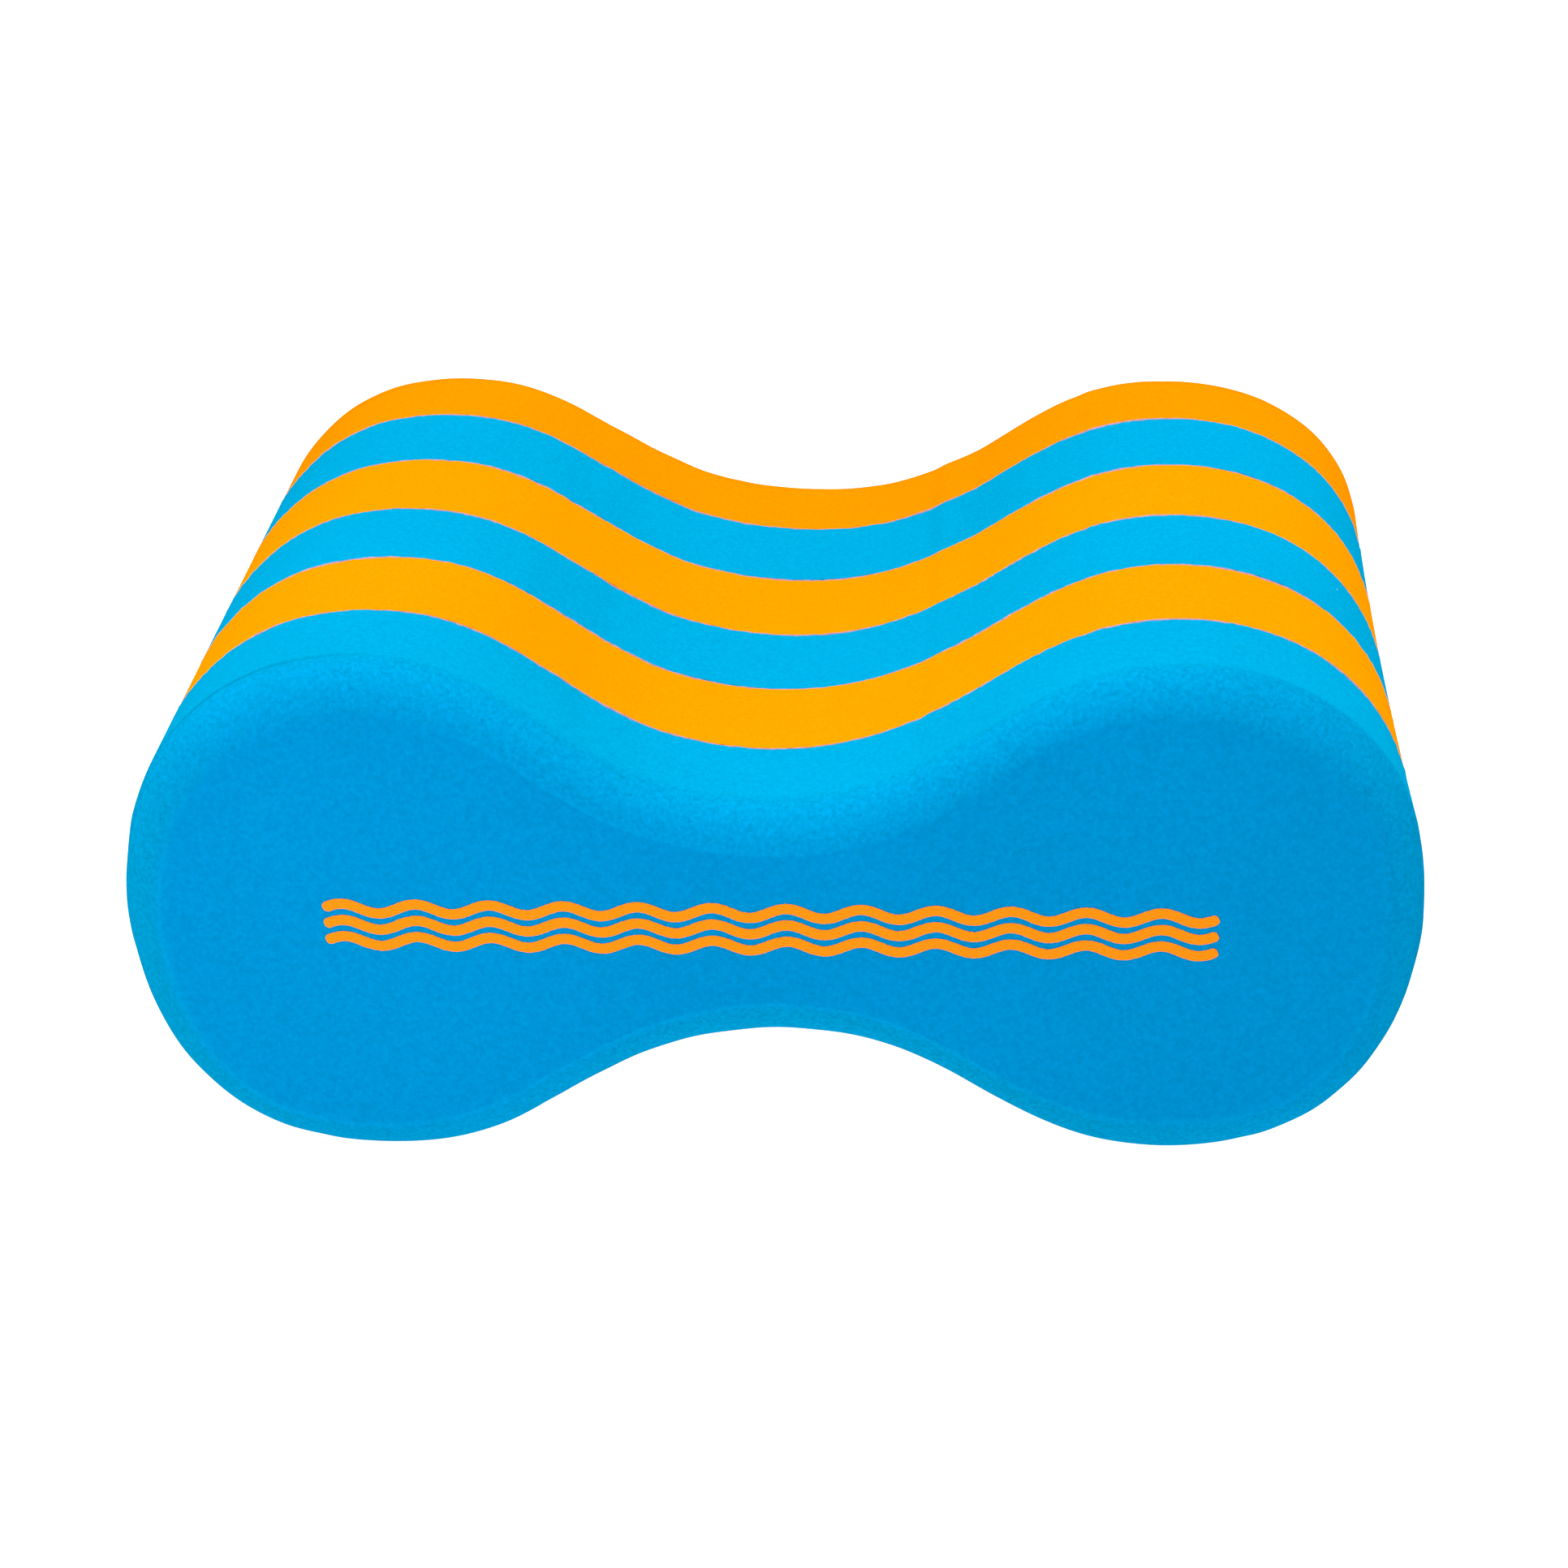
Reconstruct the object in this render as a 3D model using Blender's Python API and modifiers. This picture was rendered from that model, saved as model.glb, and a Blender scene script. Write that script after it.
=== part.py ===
# Pull buoy: six sheets of closed-cell foam, bonded into one hour-glass block with a print on its front.
# Metres, +Z up. The front faces -Y and the length runs along X. The origin is under the middle of the
# block, on the surface that its two lobes stand on.
import math

import bmesh
import bpy

# Outline, seen from the front
LENGTH = 0.240
HEIGHT = 0.103
WAIST_HEIGHT = 0.049
LOBE_CENTRE = 0.0745  # from the middle to the highest point of a lobe

# How far each Bezier handle reaches from its point, which sets how full the curve is there
END_HANDLE = 0.0076
LOBE_OUTER_HANDLE = 0.0436
LOBE_INNER_HANDLE = 0.0316
WAIST_HANDLE = 0.0366

# Sheets from front to back: node name, thickness, material
SHEETS = [
    ("front_block", 0.0255, "blue_foam"),
    ("second_layer", 0.0232, "orange_foam"),
    ("third_layer", 0.0226, "blue_foam"),
    ("fourth_layer", 0.0244, "orange_foam"),
    ("fifth_layer", 0.0242, "blue_foam"),
    ("back_block", 0.0260, "orange_foam"),
]
RIM_RADIUS = 0.0070  # ground on the front rim and on the back rim
RIM_STEPS = 6
FLAT_ANGLE = 0.001  # radians between faces that count as one flat face
OUTLINE_STEPS = 14  # segments along each of the outline's eight spans

# Adhesive film between two sheets
BOND_THICKNESS = 0.0003
BOND_RECESS = 0.0003  # how far the film's edge lies inside the foam's edge
BOND_STEPS = 8
CONTACT_GAP = 0.00003  # clearance between flat faces that rest on each other

# Print: three wave lines across the middle of the front face
WAVE_NAMES = ["printed_wave_bottom", "printed_wave_middle", "printed_wave_top"]
INK_THICKNESS = 0.00015
WAVE_COUNT = 12
WAVE_LENGTH = 0.0137
WAVE_AMPLITUDE = 0.0010
WAVE_STROKE = 0.0021
WAVE_PITCH = 0.0035
STEPS_PER_WAVE = 10

# Material name: base colour, roughness
MATERIALS = {
    "blue_foam": ((0.006, 0.330, 0.730), 0.85),
    "orange_foam": ((1.000, 0.370, 0.006), 0.85),
    "adhesive": ((0.750, 0.620, 0.500), 0.50),
    "ink": ((1.000, 0.300, 0.010), 0.60),
}

JOINT_HEIGHT = BOND_THICKNESS + 2 * CONTACT_GAP
JOINT_COUNT = len(SHEETS) - 1
PRINT_HEIGHT = INK_THICKNESS + CONTACT_GAP
DEPTH = PRINT_HEIGHT + sum(sheet[1] for sheet in SHEETS) + JOINT_COUNT * JOINT_HEIGHT
FRONT_FACE = -DEPTH / 2 + PRINT_HEIGHT


def clear_scene():
    for item in list(bpy.data.objects):
        bpy.data.objects.remove(item, do_unlink=True)


def make_collection(name):
    collection = bpy.data.collections.new(name)
    bpy.context.scene.collection.children.link(collection)
    return collection


def make_material(node, kind):
    colour, roughness = MATERIALS[kind]
    material = bpy.data.materials.new(node + "_" + kind)
    material.use_nodes = True
    shader = material.node_tree.nodes["Principled BSDF"]
    shader.inputs["Base Color"].default_value = (*colour, 1.0)
    shader.inputs["Roughness"].default_value = roughness
    shader.inputs["Metallic"].default_value = 0.0
    return material


def outline_points():
    # Eight points in order round the outline, each with the handles before and after it. The first
    # four are the right end, a lobe, the waist and the other lobe; the rest are these turned half round.
    half_round = [
        ((LENGTH / 2, 0), (0, -END_HANDLE), (0, END_HANDLE)),
        ((LOBE_CENTRE, HEIGHT / 2), (LOBE_OUTER_HANDLE, 0), (-LOBE_INNER_HANDLE, 0)),
        ((0, WAIST_HEIGHT / 2), (WAIST_HANDLE, 0), (-WAIST_HANDLE, 0)),
        ((-LOBE_CENTRE, HEIGHT / 2), (LOBE_INNER_HANDLE, 0), (-LOBE_OUTER_HANDLE, 0)),
    ]
    return [
        [(turn * x, turn * z) for x, z in point_and_handles]
        for turn in (1, -1)
        for point_and_handles in half_round
    ]


def make_sheet_curve(node, thickness, steps, recess):
    # A flat outline with both sides filled, standing upright: its thickness runs along Y
    curve = bpy.data.curves.new(node, "CURVE")
    curve.dimensions = "2D"
    curve.fill_mode = "BOTH"
    curve.resolution_u = steps
    curve.extrude = thickness / 2
    curve.offset = -recess
    points = outline_points()
    spline = curve.splines.new("BEZIER")
    spline.bezier_points.add(len(points) - 1)
    spline.use_cyclic_u = True
    for bezier, (point, before, after) in zip(spline.bezier_points, points):
        bezier.handle_left_type = "FREE"
        bezier.handle_right_type = "FREE"
        bezier.co = (*point, 0)
        bezier.handle_left = (point[0] + before[0], point[1] + before[1], 0)
        bezier.handle_right = (point[0] + after[0], point[1] + after[1], 0)
    return bpy.data.objects.new(node, curve)


def stand_upright(item, front, thickness):
    item.rotation_euler = (math.pi / 2, 0, 0)
    item.location = (0, front + thickness / 2, HEIGHT / 2)


def make_layer(collection, node, kind, front, thickness):
    item = make_sheet_curve(node, thickness, OUTLINE_STEPS, 0)
    item.data.materials.append(make_material(node, kind))
    collection.objects.link(item)
    stand_upright(item, front, thickness)


def make_block(collection, node, kind, front, thickness, round_front):
    # An outer sheet: the curve is made a mesh, so that one of its two rims can be rounded
    curve_item = make_sheet_curve(node, thickness, OUTLINE_STEPS, 0)
    collection.objects.link(curve_item)
    depsgraph = bpy.context.evaluated_depsgraph_get()
    mesh = bpy.data.meshes.new_from_object(curve_item.evaluated_get(depsgraph))
    bpy.data.objects.remove(curve_item, do_unlink=True)
    shape = bmesh.new()
    shape.from_mesh(mesh)
    bmesh.ops.remove_doubles(shape, verts=shape.verts, dist=0.00001)
    # each flat side becomes one face, so that the rim's edges are the only ones to round
    bmesh.ops.dissolve_limit(shape, angle_limit=FLAT_ANGLE, verts=shape.verts, edges=shape.edges)
    shape.to_mesh(mesh)
    shape.free()
    mesh.name = node
    mesh.materials.clear()
    mesh.materials.append(make_material(node, kind))
    item = bpy.data.objects.new(node, mesh)
    collection.objects.link(item)
    # local +Z becomes -Y, so the front rim is the one with positive local height
    rim = item.vertex_groups.new(name="rim")
    rim.add([v.index for v in mesh.vertices if (v.co.z > 0) == round_front], 1.0, "REPLACE")
    bevel = item.modifiers.new("ground_rim", "BEVEL")
    bevel.limit_method = "VGROUP"
    bevel.vertex_group = rim.name
    bevel.width = RIM_RADIUS
    bevel.segments = RIM_STEPS
    bevel.use_clamp_overlap = False
    stand_upright(item, front, thickness)


def make_bond_line(collection, node, front):
    item = make_sheet_curve(node, BOND_THICKNESS, BOND_STEPS, BOND_RECESS)
    item.data.materials.append(make_material(node, "adhesive"))
    collection.objects.link(item)
    stand_upright(item, front, BOND_THICKNESS)


def wave_edge(offset):
    # Points of z = A sin(2 pi x / L), moved along the wave's normal by the offset
    points = []
    for step in range(WAVE_COUNT * STEPS_PER_WAVE + 1):
        x = step * WAVE_LENGTH / STEPS_PER_WAVE - WAVE_COUNT * WAVE_LENGTH / 2
        phase = 2 * math.pi * x / WAVE_LENGTH
        slope = WAVE_AMPLITUDE * 2 * math.pi / WAVE_LENGTH * math.cos(phase)
        reach = math.hypot(1, slope)
        points.append((x - offset * slope / reach, WAVE_AMPLITUDE * math.sin(phase) + offset / reach))
    return points


def make_printed_wave(collection, node, height_above_middle):
    curve = bpy.data.curves.new(node, "CURVE")
    curve.dimensions = "2D"
    curve.fill_mode = "BOTH"
    curve.extrude = INK_THICKNESS / 2
    points = wave_edge(-WAVE_STROKE / 2) + wave_edge(WAVE_STROKE / 2)[::-1]
    spline = curve.splines.new("POLY")
    spline.points.add(len(points) - 1)
    spline.use_cyclic_u = True
    for poly, (x, z) in zip(spline.points, points):
        poly.co = (x, z + height_above_middle, 0, 1)
    curve.materials.append(make_material(node, "ink"))
    item = bpy.data.objects.new(node, curve)
    collection.objects.link(item)
    stand_upright(item, -DEPTH / 2, INK_THICKNESS)


def make_pull_buoy():
    clear_scene()
    collection = make_collection("pull_buoy")
    front = FRONT_FACE
    for index, (node, thickness, kind) in enumerate(SHEETS):
        if index in (0, JOINT_COUNT):
            make_block(collection, node, kind, front, thickness, round_front=index == 0)
        else:
            make_layer(collection, node, kind, front, thickness)
        if index < JOINT_COUNT:
            make_bond_line(collection, f"bond_line_{index + 1}", front + thickness + CONTACT_GAP)
        front += thickness + JOINT_HEIGHT
    for row, node in enumerate(WAVE_NAMES):
        make_printed_wave(collection, node, (row - 1) * WAVE_PITCH)


make_pull_buoy()
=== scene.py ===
import math

import bpy
import numpy as np
from mathutils import Matrix, Vector


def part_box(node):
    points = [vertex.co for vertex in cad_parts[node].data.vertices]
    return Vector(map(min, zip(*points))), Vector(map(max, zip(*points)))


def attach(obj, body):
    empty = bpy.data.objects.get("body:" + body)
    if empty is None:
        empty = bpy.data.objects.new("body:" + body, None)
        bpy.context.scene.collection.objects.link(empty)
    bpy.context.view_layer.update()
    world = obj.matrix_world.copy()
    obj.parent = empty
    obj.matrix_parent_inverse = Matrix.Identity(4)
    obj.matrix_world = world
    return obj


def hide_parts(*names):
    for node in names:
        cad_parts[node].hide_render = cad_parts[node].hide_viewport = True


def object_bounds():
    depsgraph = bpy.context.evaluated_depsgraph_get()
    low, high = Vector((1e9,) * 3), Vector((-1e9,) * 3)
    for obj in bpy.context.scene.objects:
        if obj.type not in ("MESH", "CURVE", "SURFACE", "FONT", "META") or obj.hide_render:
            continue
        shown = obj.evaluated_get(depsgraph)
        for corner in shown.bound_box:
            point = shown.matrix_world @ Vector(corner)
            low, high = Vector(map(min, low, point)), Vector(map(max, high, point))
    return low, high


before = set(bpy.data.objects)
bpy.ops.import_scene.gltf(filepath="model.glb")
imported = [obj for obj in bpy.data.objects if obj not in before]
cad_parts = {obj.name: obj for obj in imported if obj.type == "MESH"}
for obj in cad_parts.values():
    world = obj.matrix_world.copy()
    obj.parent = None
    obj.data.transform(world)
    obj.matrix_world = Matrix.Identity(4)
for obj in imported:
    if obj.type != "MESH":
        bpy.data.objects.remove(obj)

# Pull buoy: six sheets of closed-cell foam bonded into one hour-glass block, with a print on its front.
# A lap position runs once round the outline, counter-clockwise as seen from the front: 0 is the right
# end, 0.25 the top of the waist, 0.5 the left end and 0.75 the bottom of the waist.
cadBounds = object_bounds()
mm = 0.001

blockLow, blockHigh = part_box("third_layer")
blockMiddle = (blockHigh.z + blockLow.z) / 2
outlineShape = {
    "halfLength": (blockHigh.x - blockLow.x) / 2,
    "halfHeight": (blockHigh.z - blockLow.z) / 2,
    "halfWaist": 24.5 * mm,
    "lobeCentre": 74.5 * mm,
    "endHandle": 7.6 * mm,          # reach of the curve's handles, which sets how full it is
    "lobeOuterHandle": 43.6 * mm,
    "lobeInnerHandle": 31.6 * mm,
    "waistHandle": 36.6 * mm,
    "curveSteps": 300,              # along one Bezier span, before resampling
    "points": 1200,                 # round the outline
}


def bezierSpan(start, startHandle, endHandle, end):
    # cubic Bezier: each corner weighted by its Bernstein polynomial of t
    t = np.linspace(0, 1, outlineShape["curveSteps"], endpoint=False)[:, None]
    return (
        (1 - t) ** 3 * np.array(start)
        + 3 * (1 - t) ** 2 * t * np.array(startHandle)
        + 3 * (1 - t) * t ** 2 * np.array(endHandle)
        + t ** 3 * np.array(end)
    )


def hourGlass(shape):
    # A quarter from the end over a lobe to the waist, mirrored to a half, turned to the whole, then
    # resampled to equal steps of arc length. Returns the points and their outward normals.
    end, top, waist, lobe = (shape[k] for k in ("halfLength", "halfHeight", "halfWaist", "lobeCentre"))
    rise = bezierSpan(
        (end, 0), (end, shape["endHandle"]), (lobe + shape["lobeOuterHandle"], top), (lobe, top))
    fall = bezierSpan(
        (lobe, top), (lobe - shape["lobeInnerHandle"], top), (shape["waistHandle"], waist), (0, waist))
    quarter = np.vstack([rise, fall])
    mirrored = np.vstack([[(0, waist)], quarter[:0:-1]]) * (-1, 1)
    half = np.vstack([quarter, mirrored])
    loop = np.vstack([half, -half, half[:1]])
    length = np.r_[0, np.cumsum(np.hypot(*np.diff(loop, axis=0).T))]
    even = np.linspace(0, length[-1], shape["points"], endpoint=False)
    points = np.stack([np.interp(even, length, loop[:, 0]), np.interp(even, length, loop[:, 1])], axis=1)
    along = np.roll(points, -1, axis=0) - np.roll(points, 1, axis=0)
    along /= np.hypot(*along.T)[:, None]
    normals = np.stack([along[:, 1], -along[:, 0]], axis=1)
    return points, normals


outline, outward = hourGlass(outlineShape)
lapPosition = np.linspace(0, 1, outlineShape["points"], endpoint=False)


def smooth(value, low, high):
    # 0 below low, 1 above high, eased between: 3 t^2 - 2 t^3
    t = np.clip((value - low) / (high - low), 0, 1)
    return t * t * (3 - 2 * t)


def bell(value, middle, width):
    # exp of minus the square of the distance from the middle in widths
    return np.exp(-((value - middle) / width) ** 2)


def lapBells(base, bells):
    # a base value with a bell added round each (lap position, width, height)
    return base + sum(height * bell(lapPosition, middle, width) for middle, width, height in bells)


def lapNoise(seed, slowest, fastest):
    # Smooth noise round the outline: a sum of whole-number waves with random phases, unit size
    rng = np.random.default_rng(seed)
    waves = np.arange(slowest, fastest + 1)
    phase = rng.uniform(0, 2 * np.pi, len(waves))
    height = rng.normal(0, 1, len(waves))
    angle = 2 * np.pi * waves[:, None] * lapPosition + phase[:, None]
    noise = (height[:, None] * np.sin(angle)).sum(axis=0)
    return noise / np.sqrt((height ** 2).sum() / 2)


cutting = {
    "facets": 46,              # short straight strokes of the blade round the outline
    "facetStray": 0.11 * mm,
    "facetEasing": 5,          # points over which a corner between two strokes is eased
    "chatter": 0.03 * mm,      # quick ripple of the same cut
    "chatterWaves": (20, 60),
    "sheetStep": 0.06 * mm,    # each sheet springs back a little differently
    "sheetStepWaves": (4, 18),
    "raggedEdge": 0.07 * mm,   # torn cells along a sheet's sharp edges
    "raggedReach": 0.7 * mm,
    "raggedEcho": 0.6,         # how much a torn cell's neighbour follows it
    "raggedUnit": 1.17,        # size of a torn cell and its echo together
    "cornerRound": 0.22 * mm,
    "seed": 11,
    "stepSeed": 50,
    "raggedSeed": 90,
}

# Where the cut strays from the design: the lap positions at which it starts, is furthest out and ends,
# then how far out it is at the front of the block, half way and at the back, in mm
strays = {
    "right end": (-0.01, 0.040, 0.085, 0.8, 0.4, 2.3),
    "right shoulder": (0.025, 0.070, 0.125, 0.0, 0.2, 1.4),
    "right crown": (0.080, 0.187, 0.204, 0.1, -0.45, -1.0),
    "saddle": (0.200, 0.262, 0.335, -1.1, 0.3, 1.7),
    "left crown": (0.290, 0.360, 0.425, 1.1, 0.55, 0.0),
    "left shoulder": (0.400, 0.430, 0.460, -0.5, -0.45, -0.4),
    "left foot": (0.440, 0.565, 0.760, 1.2, 0.9, 0.6),
    "lower waist": (0.620, 0.690, 0.790, 0.8, 0.6, 0.4),
    "right foot": (0.780, 0.930, 0.995, -1.4, -0.9, -0.4),
}


def facetNoise(seed, count):
    # straight runs between random places round the outline, unit size, averaged over a few points
    rng = np.random.default_rng(seed)
    corners = np.sort(rng.uniform(0, 1, count))
    runs = np.interp(lapPosition, corners, rng.normal(0, 1, count), period=1)
    reach = cutting["facetEasing"] // 2
    return np.mean([np.roll(runs, shift) for shift in range(-reach, reach + 1)], axis=0)


cutPath = cutting["facetStray"] * facetNoise(cutting["seed"], cutting["facets"])
cutPath += cutting["chatter"] * lapNoise(cutting["seed"] + 1, *cutting["chatterWaves"])


def cutAt(depth):
    # How far the cut lies outside the design, for an array of depths down and the lap across. Through
    # the depth a stray follows the parabola through its three distances.
    share = (depth - cadBounds[0][1]) / (cadBounds[1][1] - cadBounds[0][1])
    offset = np.broadcast_to(cutPath, (len(depth), len(cutPath))).copy()
    for start, peak, end, front, half, back in strays.values():
        reach = np.interp(lapPosition, [start, peak, end], [0, 1, 0])
        reach = np.maximum(reach, np.interp(lapPosition - 1, [start, peak, end], [0, 1, 0]))
        atFront = front * (1 - share) * (1 - 2 * share)
        atHalf = half * 4 * share * (1 - share)
        atBack = back * share * (2 * share - 1)
        offset += smooth(reach, 0, 1) * (atFront + atHalf + atBack) * mm
    return offset


def ragged(seed):
    # a random height at each point of an edge plus a share of its neighbour's, scaled to the torn cells
    rng = np.random.default_rng(seed)
    rough = rng.normal(0, 1, outlineShape["points"])
    echoed = rough + np.roll(rough, 1) * cutting["raggedEcho"]
    return echoed * cutting["raggedEdge"] / cutting["raggedUnit"]


def makePiece(name, points, faces, material):
    # an object from its points, in any grid of xyz, and its faces
    mesh = bpy.data.meshes.new(name)
    mesh.from_pydata(points.reshape(-1, 3).tolist(), [], faces)
    mesh.materials.append(material)
    item = bpy.data.objects.new(name, mesh)
    bpy.context.scene.collection.objects.link(item)
    return item


def quadsBetween(ringCount, pointCount):
    # the quads that join each closed ring of points to the next
    here = np.arange(pointCount)
    beside = np.roll(here, -1)
    start = (np.arange(ringCount - 1) * pointCount)[:, None]
    corners = [start + here, start + pointCount + here, start + pointCount + beside, start + beside]
    return np.stack(corners, axis=-1).reshape(-1, 4).tolist()


def closedSkin(name, rings, marks, material):
    # Rings of points from front to back joined by quads. The first and last ring are closed by strips
    # between their upper and lower halves. rings is (ring, point, xyz); marks holds a value per ring
    # or per point, by name.
    ringCount, pointCount = rings.shape[:2]
    upper = np.arange(1, pointCount // 2 - 1)
    strips = np.stack([upper, upper + 1, pointCount - upper - 1, pointCount - upper], axis=1)
    middle = pointCount // 2
    tips = np.array([[0, 1, pointCount - 1], [middle - 1, middle, middle + 1]])
    lastRow = (ringCount - 1) * pointCount
    faces = quadsBetween(ringCount, pointCount) + strips.tolist() + tips.tolist()
    faces += (strips[:, ::-1] + lastRow).tolist() + (tips[:, ::-1] + lastRow).tolist()
    item = makePiece(name, rings, faces, material)
    item.data.shade_smooth()
    for mark, values in marks.items():
        spread = np.broadcast_to(values, (ringCount, pointCount)).reshape(-1)
        layer = item.data.attributes.new(mark, "FLOAT", "POINT")
        layer.data.foreach_set("value", spread.astype(np.float32))
    return item


footSoftness = 0.7 * mm
faceSqueeze = 0.35      # how far the middle of the face is drawn in along the block


def standing(flat, squash, depth):
    # Outline coordinates (ring, point, 2) to xyz resting on z = 0. A ring inside the face is squashed
    # towards the block's mid height and drawn in a little along it. The feet flatten softly on the
    # floor: (z + sqrt(z^2 + c^2)) / 2 eases from 0 below the floor to z well above it.
    along = flat[..., 0] * (1 - faceSqueeze * (1 - squash))
    height = flat[..., 1] + blockMiddle
    height = (height + np.sqrt(height ** 2 + footSoftness ** 2)) / 2 - blockMiddle
    return np.stack([along, np.broadcast_to(depth, along.shape), height * squash + blockMiddle], axis=-1)


class Channel:
    # one socket of a material, which can be used in arithmetic
    def __init__(self, recipe, socket):
        self.recipe = recipe
        self.socket = socket

    def maths(self, operation, *values):
        return self.recipe.node("ShaderNodeMath", {"operation": operation}, dict(enumerate(values)))

    def __add__(self, other):
        return self.maths("ADD", self, other)

    def __radd__(self, other):
        return self.maths("ADD", other, self)

    def __sub__(self, other):
        return self.maths("SUBTRACT", self, other)

    def __rsub__(self, other):
        return self.maths("SUBTRACT", other, self)

    def __mul__(self, other):
        return self.maths("MULTIPLY", self, other)

    def __rmul__(self, other):
        return self.maths("MULTIPLY", other, self)

    def clamped(self):
        return self.maths("MAXIMUM", self.maths("MINIMUM", self, 1.0), 0.0)


class Recipe:
    # a material and its nodes
    def __init__(self, name):
        self.material = bpy.data.materials.new(name)
        self.material.use_nodes = True
        self.tree = self.material.node_tree
        self.shader = self.tree.nodes["Principled BSDF"]

    def fill(self, node, sockets):
        for key, value in sockets.items():
            socket = node.inputs[key] if isinstance(key, int) else self.named(node.inputs, key)
            if isinstance(value, Channel):
                self.tree.links.new(value.socket, socket)
            else:
                socket.default_value = value

    def named(self, sockets, key):
        return next(s for s in sockets if key in (s.identifier, s.name) and s.enabled)

    def node(self, kind, settings, sockets, output=0):
        made = self.tree.nodes.new(kind)
        for key, value in settings.items():
            setattr(made, key, value)
        self.fill(made, sockets)
        result = made.outputs[output] if isinstance(output, int) else self.named(made.outputs, output)
        return Channel(self, result)

    def place(self):
        return self.node("ShaderNodeTexCoord", {}, {}, "Object")

    def mark(self, name):
        return self.node("ShaderNodeAttribute", {"attribute_name": name}, {}, "Fac")

    def noise(self, scale, detail=2.0, roughness=0.5):
        settings = {"Vector": self.place(), "Scale": scale, "Detail": detail, "Roughness": roughness}
        return self.node("ShaderNodeTexNoise", {}, settings, "Fac")

    def step(self, value, low, high):
        settings = {"Value": value, "From Min": low, "From Max": high}
        return self.node("ShaderNodeMapRange", {"interpolation_type": "SMOOTHSTEP"}, settings)

    def blend(self, share, first, second):
        # two colours mixed; a plain colour is given as red, green and blue
        sockets = {"Factor_Float": share, "A_Color": self.opaque(first), "B_Color": self.opaque(second)}
        return self.node("ShaderNodeMix", {"data_type": "RGBA"}, sockets, "Result_Color")

    def opaque(self, colour):
        return colour if isinstance(colour, Channel) else (*colour, 1)

    def brighten(self, colour, amount):
        # colour times a number that varies over the surface
        grey = self.node("ShaderNodeCombineXYZ", {}, {0: amount, 1: amount, 2: amount})
        return self.node("ShaderNodeVectorMath", {"operation": "MULTIPLY"}, {0: colour, 1: grey})

    def bump(self, height, distance):
        return self.node("ShaderNodeBump", {}, {"Height": height, "Distance": distance})


foamSurface = {
    "grainScale": 1200,
    "grainDetail": 4.0,
    "grainHarshness": 0.7,
    "grainDepth": 0.07 * mm,
    "groundDepth": 1.5,          # how much deeper the grain is on the ground rim
    "mottleScale": 24,
    "mottleDetail": 3.0,
    "nickScale": 130,
    "nickChosen": (0.930, 0.935),   # only cells whose random number lies above this hold a nick
    "nickSize": (0.020, 0.035),     # full within the first distance from its centre, gone by the second
    "roughness": 0.80,
    "grainRoughness": 0.3,
    "groundRoughness": 0.1,
    "gloss": 0.0,
}


def foamMaterial(name, look):
    # Closed-cell foam. Its side is skived smooth, and its outer face keeps a fine suede skin that is
    # coloured darker than the side as painted shade. The rim between them is ground to open cells and
    # carries painted shade: paler outwards, paler where it faces down, darker where it faces low and
    # left. A painted highlight runs along the crease and painted shade along the fold. A few pale
    # nicks lie anywhere.
    foam = Recipe(name)
    surface = foamSurface
    grain = foam.noise(surface["grainScale"], surface["grainDetail"], surface["grainHarshness"])
    mottle = foam.noise(surface["mottleScale"], surface["mottleDetail"])
    face = foam.mark("face")
    stipple = foam.mark("stipple")

    # painted shade across the ground rim: dark beside the face, turning pale towards the side
    ground = foam.blend(foam.mark("paintedRimShade"), look["rimInnerShade"], look["rimOuterLit"])
    # painted shade: the rim is darker where it faces low and to the left
    ground = foam.blend(foam.mark("low"), ground, look["rimLowShade"])
    shaded = foam.blend(foam.mark("ground"), look["wall"], ground)
    # painted shade: the face is given a darker colour than the side, for a front that gets less light
    # than the top
    shaded = foam.blend(face, shaded, look["face"])
    # painted highlight: a pale line along the crease between the face and the rim
    shaded = foam.blend(foam.mark("creaseHighlight") * look["creaseHighlightShare"], shaded, look["paleHighlight"])
    faceExtra = look["faceGrain"] - look["wallGrain"]
    contrast = look["wallGrain"] + face * faceExtra + stipple * look["rimGrain"]
    slow = 1 + (mottle - 0.5) * look["mottleTint"]
    # painted shade: the colour is darkened along the fold
    foldShading = 1 - foam.mark("fold") * look["foldShade"]
    shaded = foam.brighten(shaded, (1 + (grain - 0.5) * contrast) * slow * foldShading)

    nickCell = {"Vector": foam.place(), "Scale": surface["nickScale"]}
    nickReach = foam.node("ShaderNodeTexVoronoi", {}, nickCell, "Distance")
    nickPick = foam.node("ShaderNodeTexVoronoi", {}, nickCell, "Color")
    nickPick = foam.node("ShaderNodeSeparateColor", {}, {0: nickPick})
    nick = foam.step(nickPick, *surface["nickChosen"]) * (1 - foam.step(nickReach, *surface["nickSize"]))
    shaded = foam.blend(nick, shaded, look["nick"])

    rough = surface["roughness"] + (grain - 0.5) * surface["grainRoughness"]
    foam.fill(foam.shader, {
        "Base Color": shaded,
        "Roughness": (rough + stipple * surface["groundRoughness"]).clamped(),
        "Specular IOR Level": surface["gloss"],
        "Normal": foam.bump(grain * (1 + stipple * surface["groundDepth"]), surface["grainDepth"]),
    })
    return foam.material


# Colours of each foam. The face colour is darker than the wall's as painted shade. The inner and outer
# rim colours are the dark and pale ends of painted shade across the rim. The low rim colour is painted
# shade where the rim faces low. The pale colour is a painted highlight along the crease, and the fold
# amount darkens the fold as painted shade.
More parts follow.
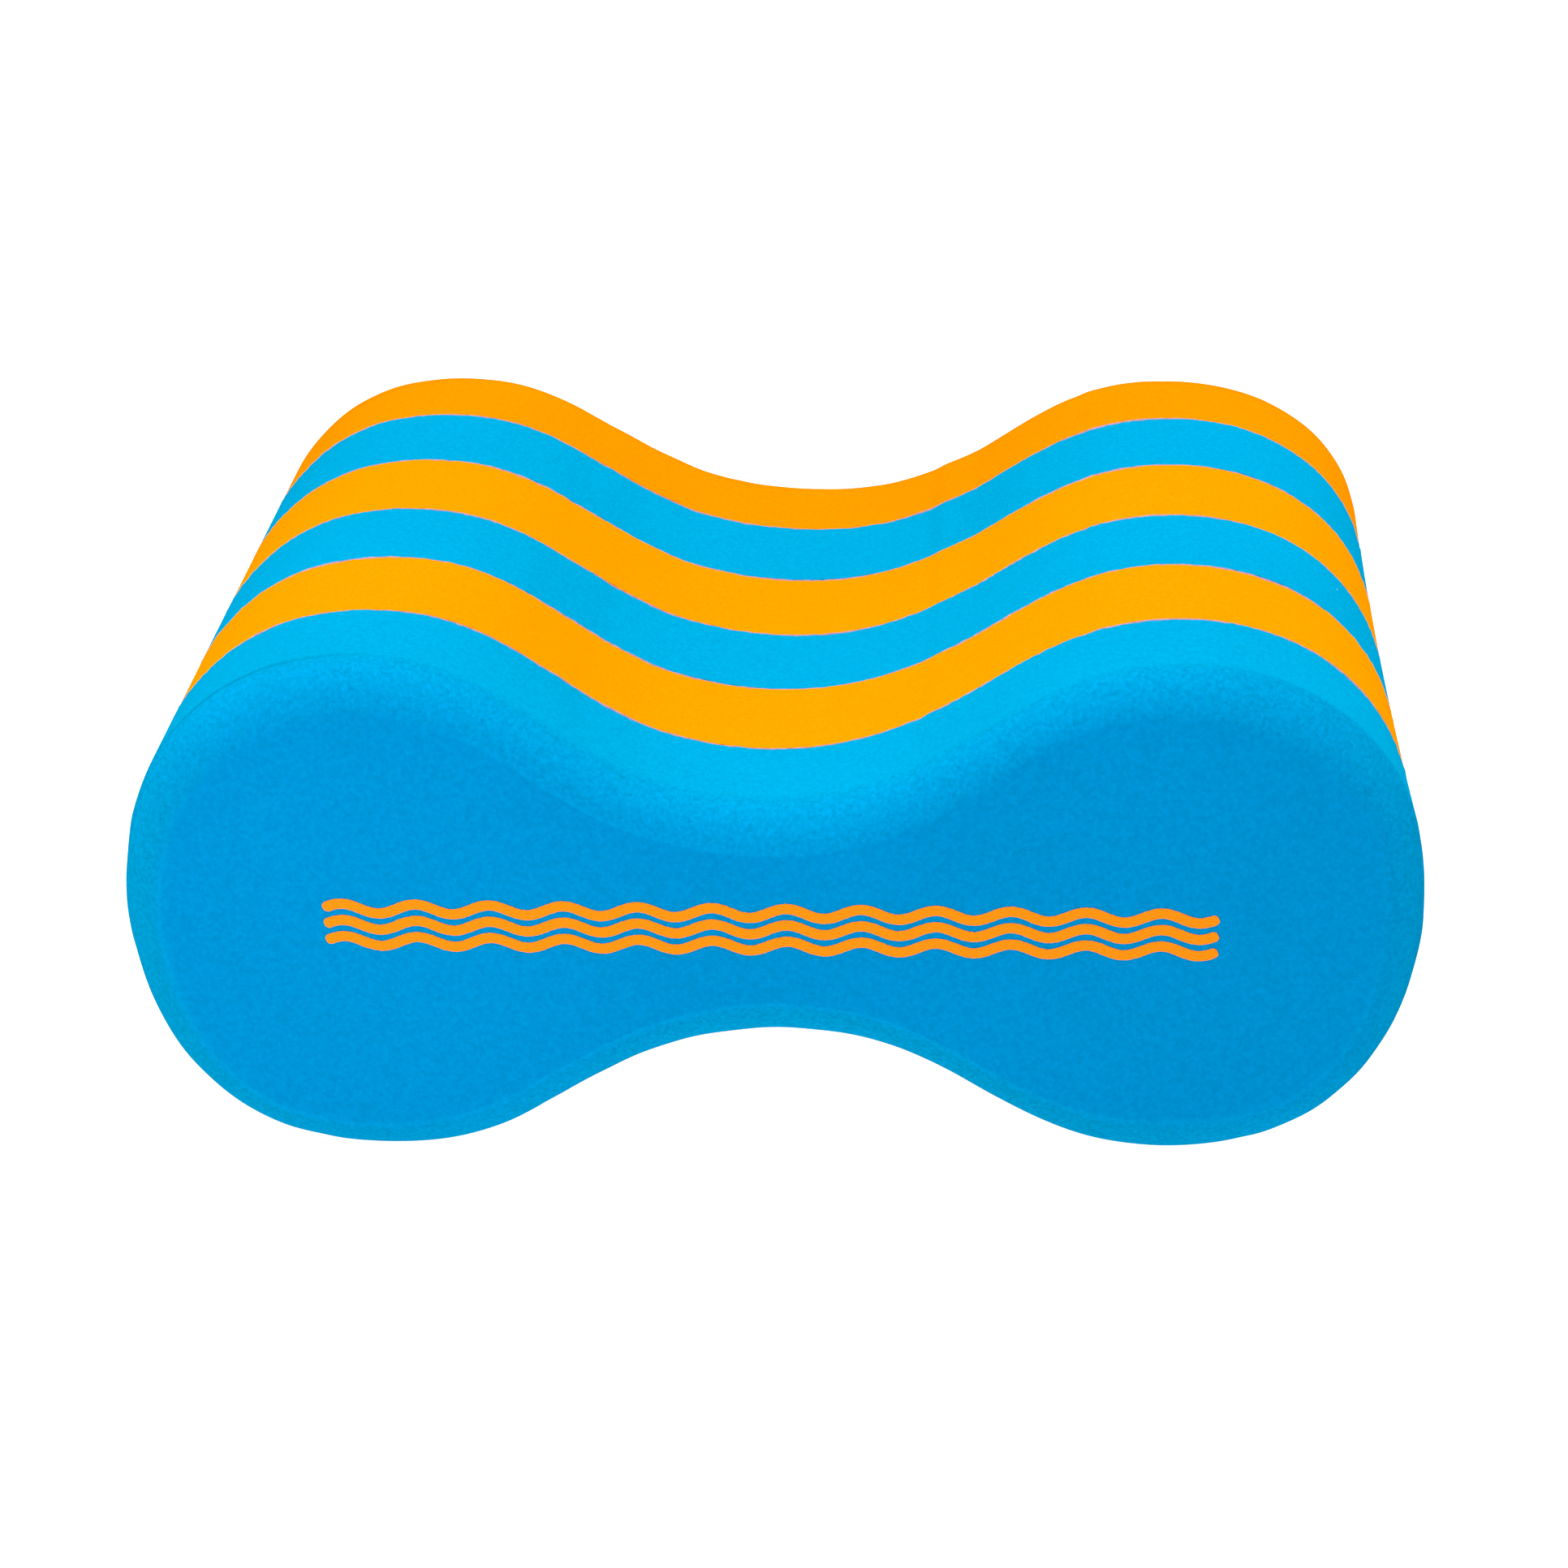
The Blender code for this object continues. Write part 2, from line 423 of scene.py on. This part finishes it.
blueLook = {
    "wall": (0.000, 0.282, 0.506),
    "face": (0.000, 0.155, 0.350),
    "paleHighlight": (0.000, 0.205, 0.430),
    "rimInnerShade": (0.000, 0.157, 0.345),
    "rimOuterLit": (0.000, 0.264, 0.492),
    "rimLowShade": (0.000, 0.165, 0.300),
    "nick": (0.50, 0.75, 0.80),
    "wallGrain": 0.55,
    "faceGrain": 0.64,
    "rimGrain": 0.70,
    "mottleTint": 0.10,
    "creaseHighlightShare": 0.9,
    "foldShade": 0.26,
}
# the same painted shade and painted highlight, for the orange foam
orangeLook = {
    "wall": (0.960, 0.234, 0.000),
    "face": (0.900, 0.195, 0.000),
    "paleHighlight": (0.920, 0.235, 0.010),
    "rimInnerShade": (0.900, 0.195, 0.000),
    "rimOuterLit": (0.940, 0.215, 0.000),
    "rimLowShade": (0.880, 0.190, 0.000),
    "nick": (0.95, 0.60, 0.25),
    "wallGrain": 0.40,
    "faceGrain": 0.50,
    "rimGrain": 0.50,
    "mottleTint": 0.07,
    "creaseHighlightShare": 0.7,
    "foldShade": 0.12,
}
# the orange sheets differ a little in colour, redder towards the back
secondFoam = foamMaterial("secondSheetFoam", orangeLook | {"wall": (0.960, 0.250, 0.000)})
fourthFoam = foamMaterial("fourthSheetFoam", orangeLook | {"wall": (0.960, 0.247, 0.000)})
backFoam = foamMaterial("backSheetFoam", orangeLook | {"wall": (0.960, 0.222, 0.000)})
blueFoam = foamMaterial("blueFoam", blueLook)

glueLook = {
    "thin": (0.29, 0.17, 0.28),
    "thick": (0.42, 0.25, 0.37),
    "patchScale": 900,
    "patchDetail": 3.0,
    "patchEdge": (0.35, 0.65),
    "roughness": 0.55,
    "patchRoughness": 0.2,
    "patchDepth": 0.05 * mm,
}


def adhesiveMaterial(look):
    # Dried contact adhesive squeezed out between two sheets: pale, patchy, a little glossy
    glue = Recipe("driedAdhesive")
    patches = glue.step(glue.noise(look["patchScale"], look["patchDetail"]), *look["patchEdge"])
    glue.fill(glue.shader, {
        "Base Color": glue.blend(patches, look["thin"], look["thick"]),
        "Roughness": look["roughness"] + patches * look["patchRoughness"],
        "Normal": glue.bump(patches, look["patchDepth"]),
    })
    return glue.material


driedAdhesive = adhesiveMaterial(glueLook)

inkLook = {
    "full": (0.850, 0.165, 0.002),
    "worn": (0.720, 0.200, 0.030),
    "wear": 0.5,
    "wearScale": 1500,
    "wearEdge": (0.66, 0.74),
    "cellScale": 3200,
    "cellDetail": 3.0,
    "cellHarshness": 0.6,
    "cellTint": 0.10,
    "cellDepth": 0.03 * mm,
    "roughness": 0.62,
    "cellRoughness": 0.2,
    "gloss": 0.03,
}


def inkMaterial(look):
    # Screen ink on foam: an even film that follows the cells under it and is thin on the highest ones
    ink = Recipe("screenInk")
    cells = ink.noise(look["cellScale"], look["cellDetail"], look["cellHarshness"])
    thin = ink.step(ink.noise(look["wearScale"]), *look["wearEdge"])
    colour = ink.blend(thin * look["wear"], look["full"], look["worn"])
    ink.fill(ink.shader, {
        "Base Color": ink.brighten(colour, 1 + (cells - 0.5) * look["cellTint"]),
        "Roughness": look["roughness"] + (cells - 0.5) * look["cellRoughness"],
        "Specular IOR Level": look["gloss"],
        "Normal": ink.bump(cells, look["cellDepth"]),
    })
    return ink.material


screenInk = inkMaterial(inkLook)
print("materials made")

rim = {
    "depth": 6.2 * mm,        # how far back the ground rim curves
    "inset": 7.6 * mm,        # how far in from the side
    "startAngle": 30,         # degrees round the arc at which the flat face meets it
    "steps": 18,
    "handWidth": 0.06,        # how much its width varies round the outline
    "handWaves": (2, 9),
    "handFrom": 1 * mm,       # nearer the side than this the width doesn't vary
    "wide": (0.39, 0.05, 0.18),   # where the grinding ran wide: lap position, spread and share
    "groundRun": 10.6 * mm,   # how far the grinding goes, measured over the surface
    "groundFade": 1.2 * mm,
    "foldDepth": 0.25 * mm,   # how deep the side is pinched along the fold
}
# rings of a flat side, as shares of the way from its middle line to its edge
faceRings = np.r_[np.linspace(0.06, 0.96, 14), 0.975, 0.985, 0.992, 0.997]
hiddenRings = np.array([0.3, 0.8, 0.98])
nearEdge = np.array([0.15, 0.35, 0.60, 1.00]) * mm    # rings beside a sharp edge, for its torn cells
cornerSteps = 4


def rimArc(steps):
    # Quarter ellipse from the face to the side wall, entered part way round so that it meets the
    # face at a slight crease: inset falls as 1 - sin, depth rises as 1 - cos, both scaled to the rim
    turn = np.radians(np.linspace(rim["startAngle"], 90, steps))
    first = math.radians(rim["startAngle"])
    inset = rim["inset"] * (1 - np.sin(turn)) / (1 - math.sin(first))
    depth = rim["depth"] * (math.cos(first) - np.cos(turn)) / math.cos(first)
    return inset, depth


def sharpCorner(steps):
    # quarter circle from the flat side to the wall, then rings close beside it
    turn = np.radians(np.linspace(0, 90, steps))
    reach = cutting["cornerRound"]
    inset = np.r_[reach * (1 - np.sin(turn)), nearEdge * 0]
    return inset, np.r_[reach * (1 - np.cos(turn)), reach + nearEdge]


def sheetEnd(isRim):
    # Rings from the middle of the flat side to the wall: squash, inset, depth, sharpness and the
    # distance run over the surface from the crease. A sharp end has no crease, so its run is set far
    # beyond every mark of the grinding.
    inset, depth = rimArc(rim["steps"]) if isRim else sharpCorner(cornerSteps)
    squash = faceRings if isRim else hiddenRings
    flat = np.ones_like(squash)
    overArc = np.r_[0, np.cumsum(np.hypot(np.diff(inset), np.diff(depth)))]
    overFace = (squash - 1) * outlineShape["halfWaist"]
    everyRing = np.ones(len(squash) + len(inset))
    return {
        "squash": np.r_[squash, np.ones_like(inset)],
        "inset": np.r_[flat * inset[0], inset],
        "depth": np.r_[flat * 0, depth],
        "sharp": everyRing * (not isRim),
        "run": np.r_[overFace, overArc] if isRim else everyRing,
    }


# How the grinding shows, and where painted shade and a painted highlight lie on the rim. Starts
# and places in mm are runs over the surface from the crease. A list holds bells round the lap,
# each a lap position, a width and a height that is added to its base.
grinding = {
    "starts": (-2.4 * mm, -1.4 * mm),
    "endStray": 0.03,              # how unevenly it ends round the outline
    "endWaves": (2, 7),
    "endSeed": 31,
    "stippleStarts": (-0.2 * mm, 1.2 * mm),
    "coarseBase": 0.50,
    "coarse": [(0.25, 0.09, 0.04), (0.75, 0.12, 0.15)],
    # painted highlight along the crease: its strength round the lap, then its place and width over the
    # surface
    "creaseBase": 0.05,
    "creaseHighlight": [(0.285, 0.06, 0.80), (0.75, 0.13, 0.32), (0.02, 0.03, 0.20)],
    "creaseLow": 0.50,             # added all along the lower half, between these lap positions
    "creaseLowFrom": (0.44, 0.50),
    "creaseLowTo": (0.97, 1.00),
    "creasePlace": 0.3 * mm,
    "creaseWidth": 0.5 * mm,
    "faceFadeBase": 1.6,           # mm past the crease by which the face's skin is gone
    "faceFade": [(0.27, 0.08, -0.9)],
    "faceFadeInside": 0.75,        # where it starts to go, as a share of that before the crease
    "rightEnd": [(0.03, 0.08, 1.0), (1.03, 0.08, 1.0)],
    # painted shade on the rim: paler towards its outer edge, a little less at the right end, and paler
    # where it faces down
    "travelSteady": 0.64,          # the rim turns paler steadily, then fast at its outer edge
    "travelLate": 0.36,
    "travelPower": 6,
    "travelLess": 0.03,            # less at the right end
    "paintedLightBelow": 0.14,            # more where it faces down
    # painted shade where the rim faces low and to the left: its direction and its strength
    "lowShadeDirection": (-0.85, -0.50),
    "lowShadeShare": 0.65,
    "foldPlace": 0.6 * mm,         # past the end of the grinding
    "foldWidth": 0.55 * mm,
    "foldLap": [(0.420, 0.038, 1.0)],
}


def foamMarks(run):
    # Where the sheet is face, ground rim, crease or fold, and where painted shade and a painted
    # highlight fall on it, from the run over the surface (down) and the lap (across)
    mark = grinding
    groundEnd = rim["groundRun"] * (1 + mark["endStray"] * lapNoise(mark["endSeed"], *mark["endWaves"]))
    ground = smooth(run, *mark["starts"]) * (1 - smooth(run, groundEnd, groundEnd + rim["groundFade"]))
    lowerHalf = smooth(lapPosition, *mark["creaseLowFrom"])
    lowerHalf = lowerHalf * (1 - smooth(lapPosition, *mark["creaseLowTo"]))
    creaseHighlightShows = lapBells(mark["creaseBase"], mark["creaseHighlight"]) + mark["creaseLow"] * lowerHalf
    faceFade = lapBells(mark["faceFadeBase"], mark["faceFade"]) * mm
    outwards = np.clip(run / rim["groundRun"], 0, 1)
    rightEnd = lapBells(0, mark["rightEnd"])
    steadily = (mark["travelSteady"] - mark["travelLess"] * rightEnd) * outwards
    late = mark["travelLate"] * (1 - rightEnd) * outwards ** mark["travelPower"]
    facingDown = np.clip(-outward[:, 1], 0, 1)
    coarse = lapBells(mark["coarseBase"], mark["coarse"])
    foldAcross = bell(run, rim["groundRun"] + mark["foldPlace"], mark["foldWidth"])
    return {
        "face": 1 - smooth(run, -mark["faceFadeInside"] * faceFade, faceFade),
        "ground": ground,
        "stipple": ground * smooth(run, *mark["stippleStarts"]) * coarse,
        "paintedRimShade": np.clip(steadily + late + mark["paintedLightBelow"] * facingDown, 0, 1),
        "low": mark["lowShadeShare"] * np.clip(outward @ mark["lowShadeDirection"], 0, 1),
        "creaseHighlight": bell(run, mark["creasePlace"], mark["creaseWidth"]) * creaseHighlightShows,
        "fold": foldAcross * lapBells(0, mark["foldLap"]),
    }


def foamSheet(piece):
    # One sheet as rings of the outline from its front to its back: each ring is the outline moved along
    # its normals by the cut's stray, less the ring's inset
    low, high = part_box(piece["node"])
    front = sheetEnd(piece["rim"] == "front")
    back = sheetEnd(piece["rim"] == "back")
    wallStart = low.y + front["depth"][-1]
    wallEnd = high.y - back["depth"][-1]
    wall = np.linspace(wallStart, wallEnd, piece["wallSteps"] + 2)[1:-1]
    none = np.zeros_like(wall)

    def chain(key, middle):
        return np.r_[front[key], middle, back[key][::-1]][:, None]

    squash = chain("squash", none + 1)
    inset = chain("inset", none)
    depth = np.r_[low.y + front["depth"], wall, high.y - back["depth"][::-1]][:, None]
    run = chain("run", np.minimum(front["run"][-1] + wall - wallStart, back["run"][-1] + wallEnd - wall))
    handWidth = lapBells(1, [rim["wide"]]) + rim["handWidth"] * lapNoise(piece["seed"], *rim["handWaves"])
    inset = inset * np.where(inset > rim["handFrom"], handWidth, 1)
    toEdge = np.clip(1 - np.minimum(depth - low.y, high.y - depth) / cutting["raggedReach"], 0, 1)
    springBack = lapNoise(piece["seed"] + cutting["stepSeed"], *cutting["sheetStepWaves"])
    torn = toEdge * chain("sharp", none) * ragged(piece["seed"] + cutting["raggedSeed"])
    offset = cutAt(depth) + cutting["sheetStep"] * springBack - inset + torn
    marks = foamMarks(np.broadcast_to(run, offset.shape))
    offset -= marks["fold"] * rim["foldDepth"]
    rings = standing(outline + offset[..., None] * outward, squash, depth)
    item = closedSkin(piece["name"], rings, marks, piece["material"])
    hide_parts(piece["node"])
    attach(item, "root")


foamSheets = [
    {"name": "frontBlock", "node": "front_block", "material": blueFoam, "slot": "blue_foam",
     "rim": "front", "wallSteps": 22, "seed": 1},
    {"name": "secondLayer", "node": "second_layer", "material": secondFoam, "slot": "orange_foam",
     "rim": None, "wallSteps": 6, "seed": 2},
    {"name": "thirdLayer", "node": "third_layer", "material": blueFoam, "slot": "blue_foam",
     "rim": None, "wallSteps": 6, "seed": 3},
    {"name": "fourthLayer", "node": "fourth_layer", "material": fourthFoam, "slot": "orange_foam",
     "rim": None, "wallSteps": 6, "seed": 4},
    {"name": "fifthLayer", "node": "fifth_layer", "material": blueFoam, "slot": "blue_foam",
     "rim": None, "wallSteps": 6, "seed": 5},
    {"name": "backBlock", "node": "back_block", "material": backFoam, "slot": "orange_foam",
     "rim": "back", "wallSteps": 22, "seed": 6},
]
for piece in foamSheets:
    foamSheet(piece)
    print("foam sheet made:", piece["name"])

bondLine = {
    "recess": 0.05 * mm,
    "spread": 0.03 * mm,
    "spreadWaves": (30, 200),
    "innerSquash": 0.4,
    "seed": 200,
}


def bondFilm(number):
    # A flat film with the outline of the cut, its edge uneven where the glue was squeezed out
    node = f"bond_line_{number}"
    low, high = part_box(node)
    inner = bondLine["innerSquash"]
    squash = np.array([inner, 1, 1, inner])[:, None]
    depth = np.array([low.y, low.y, high.y, high.y])[:, None]
    uneven = bondLine["spread"] * lapNoise(bondLine["seed"] + number, *bondLine["spreadWaves"])
    offset = cutAt(depth) - bondLine["recess"] + uneven
    rings = standing(outline + offset[..., None] * outward, squash, depth)
    film = closedSkin(f"bondLine{number}", rings, {}, driedAdhesive)
    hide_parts(node)
    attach(film, "root")


for number in range(1, len(foamSheets)):
    bondFilm(number)
print("adhesive films made")

printedWave = {
    "waves": 12,
    "length": 13.7 * mm,
    "amplitude": 1.0 * mm,
    "stroke": 2.1 * mm,
    "endRound": 0.8 * mm,
    "endSteps": 8,
    "roughEdge": 0.025 * mm,
    "stepsPerWave": 40,
    "sectionAcross": (-1, -1, -0.93, -0.4, 0.4, 0.93, 1, 1),   # a flat film with rounded shoulders
    "sectionRise": (0, 0.6, 1, 1, 1, 1, 0.6, 0),
    "seed": 300,
}


def inkRibbon(name, node, seed):
    # A closed ribbon along z = A sin(2 pi x / L): its section is carried along the wave at right angles
    # to it, and its half width follows a quarter circle at each end
    low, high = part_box(node)
    rng = np.random.default_rng(seed)
    span = printedWave["waves"] * printedWave["length"]
    count = printedWave["waves"] * printedWave["stepsPerWave"]
    endRound = printedWave["endRound"]
    ends = np.linspace(0, 1, printedWave["endSteps"]) ** 2 * endRound
    x = np.r_[ends[:-1], np.linspace(ends[-1], span - ends[-1], count), span - ends[-2::-1]]
    phase = 2 * np.pi * x / printedWave["length"]
    z = (low.z + high.z) / 2 + printedWave["amplitude"] * np.sin(phase)
    slope = printedWave["amplitude"] * 2 * np.pi / printedWave["length"] * np.cos(phase)
    across = np.stack([-slope, np.ones_like(slope)], axis=1) / np.hypot(1, slope)[:, None]
    toEnd = np.clip(np.minimum(x, span - x) / endRound, 0, 1)
    halfWidth = printedWave["stroke"] / 2 - endRound * (1 - np.sqrt(1 - (1 - toEnd) ** 2))
    side = np.array(printedWave["sectionAcross"])
    rise = np.array(printedWave["sectionRise"])
    rough = rng.normal(0, printedWave["roughEdge"], (len(x), 2))
    # only the shoulders are rough, each side in its own way
    edge = np.where(side < 0, rough[:, :1], rough[:, 1:]) * (np.abs(side) > 0.5)
    width = side * halfWidth[:, None] + edge
    px = (x - span / 2)[:, None] + across[:, :1] * width
    pz = z[:, None] + across[:, 1:] * width
    py = high.y - (high.y - low.y) * np.broadcast_to(rise, px.shape)
    rows, columns = px.shape
    endFace = np.arange(columns)
    faces = quadsBetween(rows, columns)
    faces += [endFace.tolist(), (endFace[::-1] + (rows - 1) * columns).tolist()]
    item = makePiece(name, np.stack([px, py, pz], axis=-1), faces, screenInk)
    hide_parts(node)
    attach(item, "root")


for row, place in enumerate(("bottom", "middle", "top")):
    inkRibbon("printedWave" + place.capitalize(), "printed_wave_" + place, printedWave["seed"] + row)
print("printed waves made")

studio = {
    "floorRadius": 12.0,
    "floorSides": 128,
    "floorColour": (0.40, 0.40, 0.40),
    "floorGlow": 0.95,                 # a light table under the paper
    "dustScale": 3,
    "dustTint": 0.01,
    "floorRoughness": 0.9,
    "floorGloss": 0.1,
    "skyStrength": 0.60,
    "lamps": {
        "overheadSoftbox": {"power": 62.0, "size": 2.2, "place": (0.3, -0.3, 2.2)},
        "leftSoftbox": {"power": 4.2, "size": 0.3, "place": (-0.38, -0.72, 0.14)},
    },
}


def studioFloor():
    radius = studio["floorRadius"]
    bpy.ops.mesh.primitive_circle_add(vertices=studio["floorSides"], radius=radius, fill_type="NGON")
    floor = bpy.context.object
    floor.name = "studioFloor"
    paper = Recipe("paleFloor")
    dust = paper.noise(studio["dustScale"])
    paper.fill(paper.shader, {
        "Base Color": paper.brighten(studio["floorColour"], 1 + (dust - 0.5) * studio["dustTint"]),
        "Roughness": studio["floorRoughness"],
        "Specular IOR Level": studio["floorGloss"],
        "Emission Color": (1, 1, 1, 1),
        "Emission Strength": studio["floorGlow"],
    })
    floor.data.materials.append(paper.material)


def softLights():
    sky = bpy.data.worlds.new("softSky")
    sky.use_nodes = True
    sky.node_tree.nodes["Background"].inputs["Color"].default_value = (1, 1, 1, 1)
    sky.node_tree.nodes["Background"].inputs["Strength"].default_value = studio["skyStrength"]
    bpy.context.scene.world = sky
    for name, lamp in studio["lamps"].items():
        light = bpy.data.lights.new(name, "AREA")
        light.shape = "DISK"
        light.size = lamp["size"]
        light.energy = lamp["power"]
        item = bpy.data.objects.new(name, light)
        item.location = lamp["place"]
        aim = Vector((0, 0, blockMiddle)) - item.location
        item.rotation_euler = aim.to_track_quat("-Z", "Y").to_euler()
        bpy.context.scene.collection.objects.link(item)


camera = {
    "lens": 73.04,            # mm
    "sensor": 36,             # mm wide
    "eye": (0.0428, -0.5709, 0.3569),
    "pan": -3.426,            # degrees, turned from straight along +Y
    "tilt": 28.356,           # degrees down
    "roll": -1.079,
    "shift": (-0.0331, -0.0186),
    "clip": (0.01, 100),
}


def productCamera():
    # looks along +Y, panned, tilted down, then rolled about its line of sight
    data = bpy.data.cameras.new("productCamera")
    data.sensor_width = camera["sensor"]
    data.lens = camera["lens"]
    data.shift_x, data.shift_y = camera["shift"]
    data.clip_start, data.clip_end = camera["clip"]
    item = bpy.data.objects.new("productCamera", data)
    pan, tilt, roll = (math.radians(camera[k]) for k in ("pan", "tilt", "roll"))
    forward = Vector((math.sin(pan) * math.cos(tilt), math.cos(pan) * math.cos(tilt), -math.sin(tilt)))
    level = Vector((math.cos(pan), -math.sin(pan), 0))
    upright = level.cross(forward)
    right = level * math.cos(roll) + upright * math.sin(roll)
    up = upright * math.cos(roll) - level * math.sin(roll)
    turn = Matrix((right, up, -forward)).transposed().to_4x4()
    item.matrix_world = Matrix.Translation(camera["eye"]) @ turn
    bpy.context.scene.collection.objects.link(item)
    bpy.context.scene.camera = item


studioFloor()
softLights()
productCamera()
bpy.context.scene.view_settings.view_transform = "Standard"
print("studio made")
